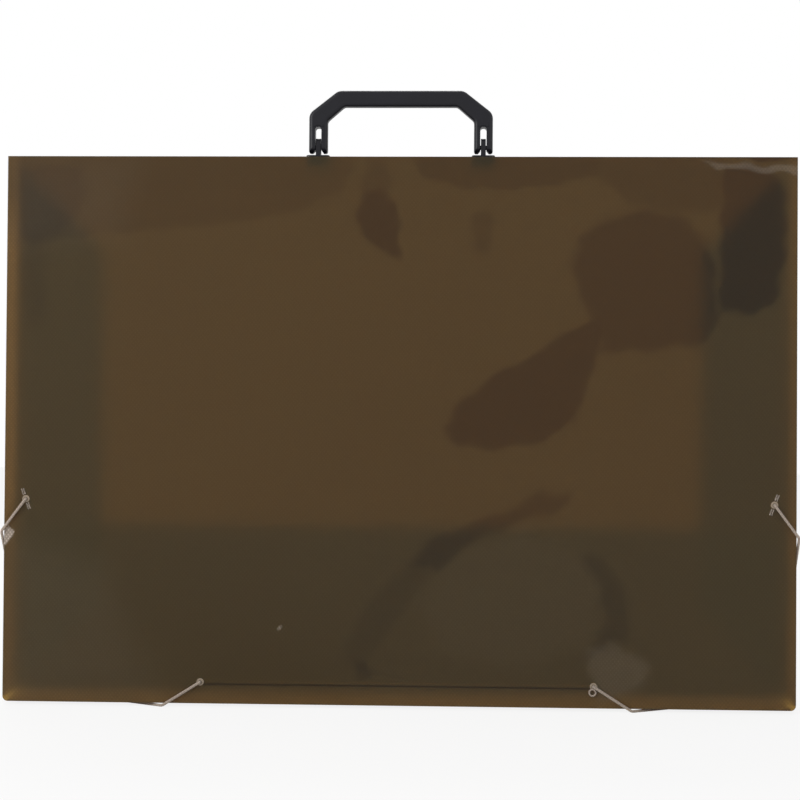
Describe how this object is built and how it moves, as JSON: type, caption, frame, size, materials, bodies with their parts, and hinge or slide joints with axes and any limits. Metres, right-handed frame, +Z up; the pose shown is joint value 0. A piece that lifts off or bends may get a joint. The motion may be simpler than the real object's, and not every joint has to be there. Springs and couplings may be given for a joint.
{
  "type": "carry case",
  "caption": "Flat translucent brown plastic carry case for large papers, with a black swinging handle, folding flaps and elastic corner closures.",
  "frame": {"origin": "middle of the case's width and depth, at the level that it stands on, which is the underside of the elastic below the bottom wall", "axes": "+X along the case's width, +Y from the back panel to the cover, +Z up towards the handle"},
  "size_m": [0.454, 0.034, 0.354],
  "materials": {
    "smoke_sheet": "translucent polypropylene with a fine diagonal grain",
    "black_plastic": "satin moulding",
    "elastic_cord": "braided",
    "tag_metal": "plated",
    "eyelet_plastic": "moulded"
  },
  "bodies": {
    "back": {"back_panel": "smoke_sheet", "cord_eyelets": "eyelet_plastic", "left_elastic_tag": "tag_metal", "right_elastic_tag": "tag_metal", "elastic_inner_run": "elastic_cord"},
    "spine": {"spine_panel": "smoke_sheet", "left_handle_post": "black_plastic", "right_handle_post": "black_plastic", "left_post_retainer": "black_plastic", "right_post_retainer": "black_plastic"},
    "cover": {"cover_panel": "smoke_sheet"},
    "left_wall": {"left_side_wall": "smoke_sheet"},
    "left_flap": {"left_inner_flap": "smoke_sheet"},
    "right_wall": {"right_side_wall": "smoke_sheet"},
    "right_flap": {"right_inner_flap": "smoke_sheet"},
    "bottom": {"bottom_wall": "smoke_sheet"},
    "bottom_flap": {"bottom_inner_flap": "smoke_sheet"},
    "handle": {"carry_handle": "black_plastic"},
    "left_elastic": {"left_corner_elastic": "elastic_cord"},
    "right_elastic": {"right_corner_elastic": "elastic_cord"}
  },
  "joints": [
    {"name": "cover_fold", "type": "hinge", "parent": "spine", "child": "cover", "pos_m": [0, 0.01455, 0.31355], "axis": [1, 0, 0], "range_deg": [0, 90]},
    {"name": "spine_fold", "type": "hinge", "parent": "back", "child": "spine", "pos_m": [0, -0.01455, 0.31355], "axis": [1, 0, 0], "range_deg": [0, 90]},
    {"name": "left_wall_fold", "type": "hinge", "parent": "back", "child": "left_wall", "pos_m": [-0.22455, -0.01455, 0.15885], "axis": [0, 0, 1], "range_deg": [0, 90]},
    {"name": "left_flap_fold", "type": "hinge", "parent": "left_wall", "child": "left_flap", "pos_m": [-0.22455, 0.01195, 0.15885], "axis": [0, 0, 1], "range_deg": [0, 90]},
    {"name": "right_wall_fold", "type": "hinge", "parent": "back", "child": "right_wall", "pos_m": [0.22455, -0.01455, 0.15885], "axis": [0, 0, -1], "range_deg": [0, 90]},
    {"name": "right_flap_fold", "type": "hinge", "parent": "right_wall", "child": "right_flap", "pos_m": [0.22455, 0.01195, 0.15885], "axis": [0, 0, -1], "range_deg": [0, 90]},
    {"name": "bottom_wall_fold", "type": "hinge", "parent": "back", "child": "bottom", "pos_m": [0, -0.01455, 0.00245], "axis": [-1, 0, 0], "range_deg": [0, 90]},
    {"name": "bottom_flap_fold", "type": "hinge", "parent": "bottom", "child": "bottom_flap", "pos_m": [0, 0.01325, 0.00245], "axis": [-1, 0, 0], "range_deg": [0, 90]},
    {"name": "handle_swing", "type": "hinge", "parent": "spine", "child": "handle", "pos_m": [0, 0, 0.3213], "axis": [1, 0, 0], "range_deg": [-90, 90]},
    {"name": "left_elastic_release", "type": "hinge", "parent": "back", "child": "left_elastic", "pos_m": [-0.162, -0.0162, 0.0659], "axis": [-0.6994, 0, 0.7147], "range_deg": [0, 60], "deforming": ["left_corner_elastic"]},
    {"name": "right_elastic_release", "type": "hinge", "parent": "back", "child": "right_elastic", "pos_m": [0.162, -0.0162, 0.0659], "axis": [-0.6994, 0, -0.7147], "range_deg": [0, 60], "deforming": ["right_corner_elastic"]}
  ],
  "couplings": [
    {"joint": "spine_fold", "follows": "cover_fold", "ratio": 1},
    {"joint": "left_wall_fold", "follows": "cover_fold", "ratio": 1},
    {"joint": "left_flap_fold", "follows": "cover_fold", "ratio": 1},
    {"joint": "right_wall_fold", "follows": "cover_fold", "ratio": 1},
    {"joint": "right_flap_fold", "follows": "cover_fold", "ratio": 1},
    {"joint": "bottom_wall_fold", "follows": "cover_fold", "ratio": 1},
    {"joint": "bottom_flap_fold", "follows": "cover_fold", "ratio": 1},
    {"joint": "left_elastic_release", "follows": "cover_fold", "ratio": 0.6666},
    {"joint": "right_elastic_release", "follows": "cover_fold", "ratio": 0.6666}
  ]
}
